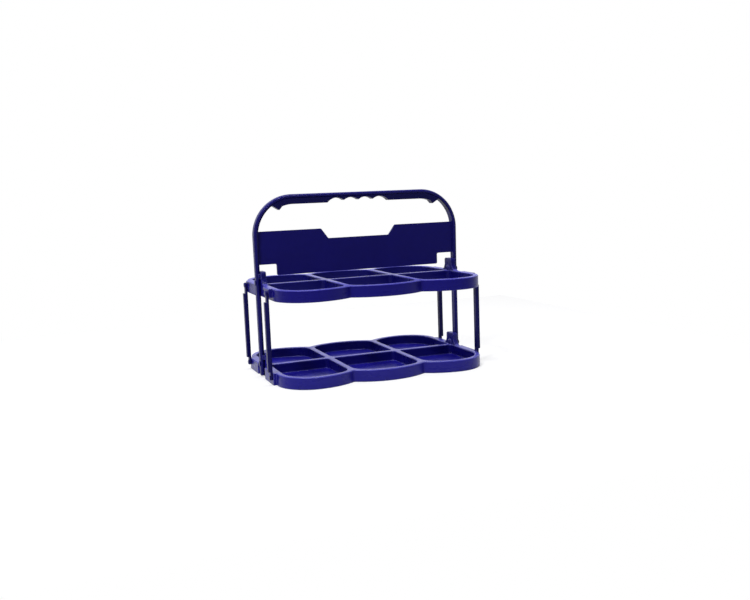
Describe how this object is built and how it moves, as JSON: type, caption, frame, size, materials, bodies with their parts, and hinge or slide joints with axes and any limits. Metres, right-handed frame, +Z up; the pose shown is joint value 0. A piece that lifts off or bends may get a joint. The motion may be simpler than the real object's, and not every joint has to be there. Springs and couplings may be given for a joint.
{
  "type": "folding bottle carrier",
  "caption": "Folding moulded carrier for drinks bottles: two lobed trays joined by hinged posts and an arched handle with a panel and finger scallops.",
  "frame": {"origin": "on the floor below the middle of the carrier, with the trays upright", "axes": "+X along the length of the trays and the handle, +Y across the carrier towards the side it folds to, +Z up"},
  "size_m": [0.2838, 0.208, 0.2245],
  "materials": {
    "blue_plastic": "satin-gloss deep blue moulded plastic",
    "pin_plastic": "smooth deep blue moulded plastic"
  },
  "bodies": {
    "lower_tray": {"lower_tray": "blue_plastic", "handle_pin_lower_left": "pin_plastic", "handle_pin_lower_right": "pin_plastic", "post_pin_lower_front_left": "pin_plastic", "post_pin_lower_front_right": "pin_plastic", "post_pin_lower_back_left": "pin_plastic", "post_pin_lower_back_right": "pin_plastic"},
    "upper_tray": {"upper_tray": "blue_plastic", "handle_pin_upper_left": "pin_plastic", "handle_pin_upper_right": "pin_plastic", "post_pin_upper_front_left": "pin_plastic", "post_pin_upper_front_right": "pin_plastic", "post_pin_upper_back_left": "pin_plastic", "post_pin_upper_back_right": "pin_plastic"},
    "handle": {"handle": "blue_plastic"},
    "post_front_left": {"post_front_left": "blue_plastic"},
    "post_front_right": {"post_front_right": "blue_plastic"},
    "post_back_left": {"post_back_left": "blue_plastic"},
    "post_back_right": {"post_back_right": "blue_plastic"}
  },
  "joints": [
    {"name": "handle_fold", "type": "hinge", "parent": "lower_tray", "child": "handle", "pos_m": [0, 0, 0.0163], "axis": [-1, 0, 0], "range_deg": [0, 73]},
    {"name": "upper_tray_level", "type": "hinge", "parent": "handle", "child": "upper_tray", "pos_m": [0, 0, 0.1175], "axis": [-1, 0, 0], "range_deg": [-73, 0]},
    {"name": "post_front_left_fold", "type": "hinge", "parent": "lower_tray", "child": "post_front_left", "pos_m": [-0.1377, -0.054, 0.009], "axis": [-1, 0, 0], "range_deg": [0, 73]},
    {"name": "post_front_right_fold", "type": "hinge", "parent": "lower_tray", "child": "post_front_right", "pos_m": [0.1377, -0.054, 0.009], "axis": [-1, 0, 0], "range_deg": [0, 73]},
    {"name": "post_back_left_fold", "type": "hinge", "parent": "lower_tray", "child": "post_back_left", "pos_m": [-0.1377, 0.054, 0.009], "axis": [-1, 0, 0], "range_deg": [0, 73]},
    {"name": "post_back_right_fold", "type": "hinge", "parent": "lower_tray", "child": "post_back_right", "pos_m": [0.1377, 0.054, 0.009], "axis": [-1, 0, 0], "range_deg": [0, 73]}
  ],
  "couplings": [
    {"joint": "upper_tray_level", "follows": "handle_fold", "ratio": -1},
    {"joint": "post_front_left_fold", "follows": "handle_fold", "ratio": 1},
    {"joint": "post_front_right_fold", "follows": "handle_fold", "ratio": 1},
    {"joint": "post_back_left_fold", "follows": "handle_fold", "ratio": 1},
    {"joint": "post_back_right_fold", "follows": "handle_fold", "ratio": 1}
  ]
}
